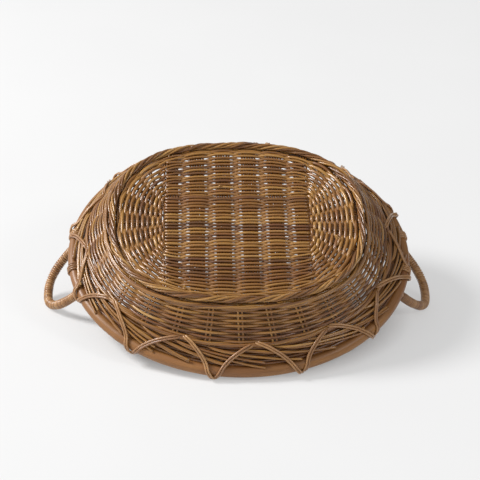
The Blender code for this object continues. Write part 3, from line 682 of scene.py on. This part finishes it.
def shortRows():
    # Pairs of rows that fill the long sides
    strands = []
    for after in base["shortAfter"]:
        slot = slotOf(after) - 2
        for sign in (-1, 1):
            ribs = [(k, inner[1], outer[1]) for k, (inner, outer, isRib) in enumerate(spokeList)
                    if isRib and outer[1] * sign > 0]
            if sign > 0:
                ribs.reverse()
            lines = []
            for row in (0, 1):
                share = (slot + row + 0.5) / sideSlots
                ys = [low + (high - low) * share for k, low, high in ribs]
                # A mean over nine places rounds the row's corners at the ribs.
                across = np.interp(rowPlaces, ribPlaces, ys)
                across = np.convolve(np.pad(across, 4, "edge"), np.ones(9) / 9, "valid")
                parity = (-1) ** (ribs[0][0] + slot + row)
                cosine = np.cos(np.pi * (rowPlaces - ribPlaces[0]) / base["rib"]) * parity
                lines.append(np.stack([rowPlaces, across, overUnder(cosine)], 1)[::1 - 2 * row])
            turnPlace = (lines[0][-1] + lines[1][0]) / 2 + (2 * mm, 0, 0)
            path = settled(np.concatenate([lines[0], turnPlace[None], lines[1]]))
            strands.append({"points": path, "radius": base["weaver"] + base["swell"]})
    return strands


def looseEnds():
    # A few weaver ends that stand out of the weave
    strands = []
    run = np.linspace(0, 1, 7)
    for x, y, degrees, length in base["looseEnds"]:
        turn = np.radians(degrees)
        rise = baseLevel(x, y) + (2.0 + 5.0 * run ** 1.5) * mm
        points = np.stack([x + foot["shift"] + length * run * np.cos(turn),
                           y + length * run * np.sin(turn), rise], 1)
        strands.append({"points": points, "radius": base["weaver"] * 0.9, "tone": 0.95})
    return strands


def makeRibs():
    # Bundles of sticks across the base, then two rods for each fanned spoke
    strands = []
    pitch = 2 * (base["ribRadius"] + base["ribApart"])
    for number, x in enumerate(ribPlaces):
        outer = edgeHalf(x) + base["edgeTuck"]
        for stick in range(base["ribSticks"]):
            apart = (stick - (base["ribSticks"] - 1) / 2) * pitch
            ys = np.linspace(-outer, outer, 34)
            xs = x + apart + wander(ys, 200 + 10 * number + stick, 0.12, 0.2 * mm)
            # The sticks take the darkest tone as painted shade, where they show between the rows
            # that pass over them.
            strands.append({"points": onBase(xs, ys), "radius": base["ribRadius"], "tone": 0.0})
    run = np.linspace(0, 1, 12)[:, None]
    for inner, outer, isRib in spokeList:
        if isRib:
            continue
        ahead = unit(outer - inner)
        across = np.array([-ahead[1], ahead[0]])
        start, end = inner - ahead * base["spokeTuck"], outer + ahead * base["edgeTuck"]
        for side in (-1, 1):
            flat = start + (end - start) * run + across * side * (0.9 + 0.7 * run) * mm
            strands.append({"points": onBase(flat[:, 0], flat[:, 1]),
                            "radius": base["spokeRadius"]})
    nodes = [f"base_rib_{k + 1}" for k in range(6)]
    strandPiece("baseRibs", strands, 8, rodWood, nodes, 14)


strandPiece("baseWeave", matStrands() + roundStrands() + shortRows() + looseEnds(), 8,
            weaverWood, ["base_weave", "base_mat"], 13)
makeRibs()
print("stage: base made")

# Foot ring: rods twisted loosely round a straight one
ring = {"rods": 5, "radius": 1.6 * mm, "wind": 3.4 * mm, "twists": 13, "points": 20,
        "core": 2.3 * mm, "firstEnd": 0.13, "nextEnd": 0.19}


def makeRing():
    strands = []
    count = ring["twists"] * ring["points"]
    share = np.arange(count) / count
    for rod in range(ring["rods"]):
        turn = 2 * np.pi * (ring["twists"] * share + rod / ring["rods"])
        turn = turn + wander(share, 40, 0.5, 0.5) + wander(share, 45 + rod, 0.2, 0.4)
        wind = ring["wind"] * (1 + wander(share, 41 + rod, 0.2, 0.16))
        radius = ring["radius"] * (1 + wander(share, 48 + rod, 0.3, 0.05))
        points = aroundFoot(angleAt(share), wind, turn)
        first = -round(count * (ring["firstEnd"] + ring["nextEnd"] * rod))
        strands.append({"points": np.roll(points, first, 0), "radius": np.roll(radius, first)})
    angle = angleAt(evenShares)
    strands.append({"points": wallPlace(angle, wallLength(angle), 0), "radius": ring["core"],
                    "closed": True, "tone": 0.2})
    nodes = [f"foot_ring_rod_{k + 1}" for k in range(3)]
    strandPiece("footRing", strands, 10, rodWood, nodes, 15)


makeRing()

# Rim hoop: a smooth pole with faint joints
hoop = {"points": 240, "joints": (0.03, 0.17, 0.335, 0.47, 0.62, 0.715, 0.86),
        "jointRise": 0.35 * mm, "jointWidth": 0.0035}


def makeHoop():
    share = np.arange(hoop["points"]) / hoop["points"]
    radius = rim["radius"] * (1 + wander(share, 50, 0.3, 0.012))
    for joint in hoop["joints"]:
        apart = np.abs((share - joint + 0.5) % 1 - 0.5)
        radius = radius + hoop["jointRise"] * np.exp(-(apart / hoop["jointWidth"]) ** 2)
    strands = [{"points": rimAt(angleAt(share)), "radius": radius, "closed": True, "tone": 0.5}]
    strandPiece("rimHoop", strands, 24, poleWood, ["rim_hoop"], 16)


makeHoop()

# Lashing: doubled cane zigzagging round the hoop, one strip each way
lashing = {"turns": 12, "start": -0.0269, "radius": 1.55 * mm, "apart": 1.6 * mm,
           "slotRise": 36.85 * mm, "slotStep": 3.0 * mm, "slotShift": 0.0026,
           "slotOut": 3 * mm, "slotBend": 5 * mm, "stakeClear": 8.7 * mm,
           "layer": 1.8 * mm, "seat": rim["radius"] + 1.35 * mm, "weaveFace": 6.2 * mm,
           "outside": ((35.2, 5.8), (31.5, 7.1), (26.5, 8.5), (21, 8.7), (14.5, 8.3), (7, 8.7),
                       (0, 10.1)),
           "lean": 0.0042, "shoulder": 0.13, "fine": 4.5 * mm}


def besideStakes(share):
    # The nearest share at which a slot misses the stakes
    clear = lashing["stakeClear"] / (np.pi * sum(foot["half"]))
    nearest = front + round((share - front) * stakePairs) / stakePairs
    apart = share - nearest
    if abs(apart) >= clear:
        return share
    return nearest + (clear if apart > 0 else -clear)


def lashingFace(top, low, slot, face, side, lean):
    # From a slot at the top down one face of the border to the hoop's underside
    rows = []
    for down, out in face:
        along = down + lashing["shoulder"] * np.sin(np.pi * down ** 0.6)
        share = top + (low - top) * along + 1.5 * lean * lashing["lean"] * down ** 3
        rows.append((share, slot * (1 - down), side * out, slot * (1 - down)))
    return rows


def lashingStrip(layer, outwardFirst):
    weave = lashing["weaveFace"] + layer * lashing["layer"]
    under = lashing["seat"] + layer * lashing["layer"]
    slot = lashing["slotRise"] + layer * lashing["slotStep"]
    outside = [(1 - rise * mm / slot, out * mm) for rise, out in lashing["outside"]]
    outside[-1] = (1, outside[-1][1] + layer * lashing["layer"])
    inside = [(0.02, weave)] + [(s, weave + (under - weave) * s) for s in (0.35, 0.7)]
    inside.append((0.9, under))
    first, second = (outside, inside) if outwardFirst else (inside, outside)
    sign = 1 if outwardFirst else -1
    turns = lashing["turns"]
    tops = [besideStakes(lashing["start"] - (turn - 0.5) / turns) - sign * lashing["slotShift"]
            for turn in range(turns)]
    rows = []  # share of the way round, rise, how far out, and the rise that the strip faces
    for turn in range(turns):
        start, after = tops[turn], tops[(turn + 1) % turns]
        after -= round(after - start + 1 / turns)  # the top beside this one, not a round away
        low = lashing["start"] - turn / turns
        out, faced = sign * lashing["slotOut"], slot - lashing["slotBend"]
        rows.append((start, slot, out, faced))
        rows += lashingFace(start, low, slot, first, sign, 1)
        for degrees in (-30, -60, -90, -120, -150):
            around = np.radians(degrees)
            lean = (degrees + 90) / 60 * lashing["lean"]
            rows.append((low + lean, under * np.sin(around), sign * under * np.cos(around), 0))
        rows += lashingFace(after, low, slot, second, -sign, -1)[::-1]
        rows.append((after, slot, -out, faced))
    rows = np.array(rows)
    angle = angleAt(rows[:, 0])
    points = wallPlace(angle, rows[:, 1], rows[:, 2])
    away = points - wallPlace(angle, rows[:, 3], 0)
    fine = smoothed(np.concatenate([points, away], 1), lashing["fine"], closed=True)
    points, away = fine[:, :3], fine[:, 3:]
    ahead = unit(np.roll(points, -1, 0) - np.roll(points, 1, 0))
    away = unit(away - ahead * np.sum(away * ahead, 1, keepdims=True))
    across = np.cross(ahead, away)
    return [{"points": points + across * side * lashing["apart"], "radius": lashing["radius"],
             "closed": True} for side in (-1, 1)]


strandPiece("rimLashing", lashingStrip(0, True) + lashingStrip(1, False), 8,
            wrapWood, ["rim_lashing_first", "rim_lashing_second"], 17)

# Bands of cane round the hoop between the legs of each handle
bands = {"places": (29 * mm, -27 * mm), "turns": 3.6, "pitch": 3.0 * mm, "radius": 1.45 * mm,
         "pointsPerTurn": 16}


def makeBands():
    strands = []
    turns = np.arange(round(bands["turns"] * bands["pointsPerTurn"]) + 1) / bands["pointsPerTurn"]
    turn = 2 * np.pi * turns
    along = (turns - bands["turns"] / 2) * bands["pitch"]
    reach = rim["radius"] + bands["radius"] * 0.9
    for side in (-1, 1):
        for place in bands["places"]:
            seat = (0 if side > 0 else np.pi) + side * np.arcsin(place / rim["half"][1])
            angle = seat + along / rim["half"][1]
            points = wallPlace(angle, reach * np.sin(turn), reach * np.cos(turn))
            strands.append({"points": points, "radius": bands["radius"]})
    strandPiece("hoopBands", strands, 8, wrapWood, [], 18)


makeBands()
print("stage: rim made")

# Handles: a bent pole with close turns of cane, its legs running up inside the wall
handle = {"halfWidth": 50 * mm, "reach": 97.5 * mm, "slope": np.radians(50.5), "fullness": 2.5,
          "core": 4.6 * mm, "tip": 1.4 * mm, "taper": 1.25, "wrap": 6.8 * mm, "cane": 1.75 * mm,
          "pitch": 3.45 * mm, "pointsPerTurn": 14, "step": 1.5 * mm,
          "legClear": 18.74 * mm, "leg": 68 * mm, "wrapEnd": 24 * mm,
          "legBend": ((14, 1), (27, 0.85), (40, 0.5), (54, 0.16), (68, 0))}


def wallAngle(y, side):
    # Where the rim is this far from the basket's length, found by a few rounds
    angle = 0 if side > 0 else np.pi
    for _ in range(12):
        lean = np.arcsin(y / ovalRadius(angle, rim))
        angle = lean if side > 0 else np.pi - lean
    return angle


def handlePath(side):
    rootAngle = wallAngle(handle["halfWidth"], side)
    down = np.array([side * np.cos(handle["slope"]), 0, -np.sin(handle["slope"])])
    inward = np.array([-side * np.sin(handle["slope"]), 0, -np.cos(handle["slope"])])
    root = np.array([rimAt(rootAngle)[0], 0, 0]) + inward * handle["legClear"]
    power = 2 / handle["fullness"]
    arch = []
    for turn in np.linspace(0, np.pi, 25):
        y = handle["halfWidth"] * abs(np.cos(turn)) ** power * np.sign(np.cos(turn))
        beyond = handle["reach"] * abs(np.sin(turn)) ** power
        arch.append((*(root + down * beyond + (0, y, 0)), handle["core"]))
    legs = []
    for sign in (1, -1):
        seat = shareAt(wallAngle(sign * handle["halfWidth"], side))
        rows = []
        for rise, depth in handle["legBend"]:
            thin = max(0, (rise * mm - handle["wrapEnd"]) / (handle["leg"] - handle["wrapEnd"]))
            thin = min(1, handle["taper"] * thin)
            radius = handle["core"] + (handle["tip"] - handle["core"]) * thin
            place = wallPlace(angleAt(seat), rise * mm, -handle["legClear"] * depth)
            rows.append((*place, radius))
        legs.append(rows)
    return smoothed(legs[0][::-1] + arch + legs[1], handle["step"])


def makeHandle(side, word):
    path = handlePath(side)
    core = [{"points": path[::3, :3], "radius": path[::3, 3]}]
    strandPiece(f"handleCore_{word}", core, 12, poleWood,
                [f"handle_core_{word}"], 19)
    # The wrapping leaves the ends of the legs bare, where they are pushed into the weave.
    spare = round((handle["leg"] - handle["wrapEnd"]) / handle["step"])
    covered = path[spare:-spare, :3]
    run = runAlong(covered)
    turns = run[-1] / handle["pitch"]
    wanted = np.linspace(0, run[-1], round(turns * handle["pointsPerTurn"]) + 1)
    points = placesAt(wanted, run, covered)
    ahead = unit(np.gradient(points, axis=0))
    level = np.array([side * np.sin(handle["slope"]), 0, np.cos(handle["slope"])])
    sideways = unit(np.cross(ahead, level))
    upright = np.cross(sideways, ahead)
    turn = 2 * np.pi * wanted[:, None] / handle["pitch"]
    reach = handle["wrap"] - handle["cane"] + wander(wanted, 60 + side, 0.03, 0.12 * mm)
    points = points + (sideways * np.cos(turn) + upright * np.sin(turn)) * reach[:, None]
    points = points + ahead * wander(wanted, 70 + side, 0.012, 0.25 * mm)[:, None]
    thick = handle["cane"] * (1 + wander(wanted, 64 + side, 0.021, 0.09))
    tone = np.random.default_rng(90 + side).uniform(0.05, 0.95, round(turns))
    wrap = [{"points": points, "radius": thick, "tone": tone}]
    strandPiece(f"handleWrap_{word}", wrap, 8, wrapWood,
                [f"handle_wrap_{word}"], 21 + side)


makeHandle(-1, "left")
makeHandle(1, "right")
print("stage: handles made")

# Floor: pale paper that keeps the basket's shadow near it, with painted shade under the basket,
# and shows a plain white farther out
# The dark colour and the oval under the basket are painted shade on the paper.
paper = {"reach": 8, "colours": (0.75, 0.77), "roughness": 0.9, "specular": 0.1, "glow": 0.86,
         "shade": (0.32, 0.25, 0.19), "paintedShadeOval": (-0.055, 0.2, 0.12), "paintedShadeFade": (0.55, 1.0),
         "nearOval": (0, 0.26, 0.21), "nearFade": (0.7, 0.98), "glowShare": 0.51}


def makeFloor():
    mesh = bpy.data.meshes.new("floor")
    shape = bmesh.new()
    bmesh.ops.create_grid(shape, x_segments=4, y_segments=4, size=paper["reach"])
    shape.to_mesh(mesh)
    shape.free()
    floor = bpy.data.objects.new("floor", mesh)
    scene.collection.objects.link(floor)
    material, shader, wire = newMaterial("palePaper")
    place = wire.node("ShaderNodeTexCoord", output="Object")

    def awayFrom(y, halfX, halfY):
        # 0 in the middle of an oval under the basket, 1 at its edge
        return ((place - (0, y, 0)) * (1 / halfX, 1 / halfY, 0)).length()

    grey, white = ((level, level, level) for level in paper["colours"])
    colour = place.noise(3.0, 2.0, 0.5).ramp((0.3, grey), (0.7, white))
    # Painted shade: the paper's colour is darker under the basket, so that the gaps in its wall
    # look as deep as they are
    paintedShade = awayFrom(*paper["paintedShadeOval"]).between(*paper["paintedShadeFade"], 1, 0)
    wire.join(shader.inputs["Base Color"], colour.mixed(paper["shade"], paintedShade))
    shader.inputs["Roughness"].default_value = paper["roughness"]
    shader.inputs["Specular IOR Level"].default_value = paper["specular"]
    glow = wire.node("ShaderNodeEmission", {"Color": (paper["glow"],) * 3})
    camera, glossy, passing = (wire.node("ShaderNodeLightPath", output=f"Is {kind} Ray")
                               for kind in ("Camera", "Glossy", "Transmission"))
    far = awayFrom(*paper["nearOval"]).between(*paper["nearFade"], 0.0, paper["glowShare"])
    plain = Wire(material.node_tree, shader.outputs[0])
    surface = wire.node("ShaderNodeMixShader",
                        {0: (camera + glossy + passing) * far, 1: plain, 2: glow})
    wire.join(material.node_tree.nodes["Material Output"].inputs["Surface"], surface)
    mesh.materials.append(material)


makeFloor()

# Studio: brighter from the left, with a large lamp there and a weak one at the right
studio = {"leftward": -0.9, "backward": -0.2, "range": (-0.8, 1), "strength": (0.20, 0.82),
          "target": (0, 0, 0.08)}


def makeWorld():
    world = bpy.data.worlds.new("studio")
    scene.world = world
    world.use_nodes = True
    background = world.node_tree.nodes["Background"]
    background.inputs["Color"].default_value = (1, 1, 1, 1)
    wire = Wire(world.node_tree)
    sky = wire.node("ShaderNodeTexCoord", output="Generated")
    side = sky.part("X") * studio["leftward"] + sky.part("Y") * studio["backward"]
    wire.join(background.inputs["Strength"], side.between(*studio["range"], *studio["strength"]))


def setPlace(thing, axes, place):
    # The columns of axes are the thing's own X, Y and Z.
    rows = [[*row, value] for row, value in zip(axes, place)]
    thing.matrix_world = Matrix(rows + [[0, 0, 0, 1]])


def addLamp(name, place, size, power):
    lamp = bpy.data.lights.new(name, "AREA")
    lamp.shape = "DISK"
    lamp.size = size
    lamp.energy = power
    holder = bpy.data.objects.new(name, lamp)
    scene.collection.objects.link(holder)
    back = unit(np.array(place) - studio["target"])
    side = unit(np.cross([0, 0, 1], back))
    setPlace(holder, np.stack([side, np.cross(back, side), back], 1), place)


makeWorld()
addLamp("key", (-3.6, 0.5, 3.3), 1.6, 262)
addLamp("fill", (2.6, -1.9, 2.6), 1.0, 28)

# Camera: the values come from a fit of the rim, the foot ring and both handles, and the angles
# are in the basket's own frame.
view = {"tilt": np.radians(48.89), "azimuth": np.radians(3.1), "roll": np.radians(2.47),
        "centre": (239.05, 254.42), "distance": 2.6, "focal": 1805.6, "pixels": 480,
        "sensor": 36, "farClip": 50}


def makeCamera():
    tilt, azimuth, roll = view["tilt"], view["azimuth"], view["roll"]
    right = np.array([np.cos(azimuth), -np.sin(azimuth), 0])
    level = np.array([np.sin(azimuth), np.cos(azimuth), 0])
    above = level * np.sin(tilt) + (0, 0, np.cos(tilt))
    ahead = level * np.cos(tilt) - (0, 0, np.sin(tilt))
    cameraRight = np.cos(roll) * right + np.sin(roll) * above
    cameraUp = -np.sin(roll) * right + np.cos(roll) * above
    camera = bpy.data.objects.new("camera", bpy.data.cameras.new("camera"))
    scene.collection.objects.link(camera)
    setPlace(camera, turned @ np.stack([cameraRight, cameraUp, -ahead], 1),
             toWorld(-view["distance"] * ahead))
    pixels, (centreX, centreY) = view["pixels"], view["centre"]
    camera.data.sensor_width = view["sensor"]
    camera.data.lens = view["focal"] / pixels * view["sensor"]
    camera.data.shift_x = (pixels / 2 - centreX) / pixels
    camera.data.shift_y = (centreY - pixels / 2) / pixels
    camera.data.clip_end = view["farClip"]
    scene.camera = camera


makeCamera()
scene.view_settings.view_transform = "Standard"
print("stage: scene set")
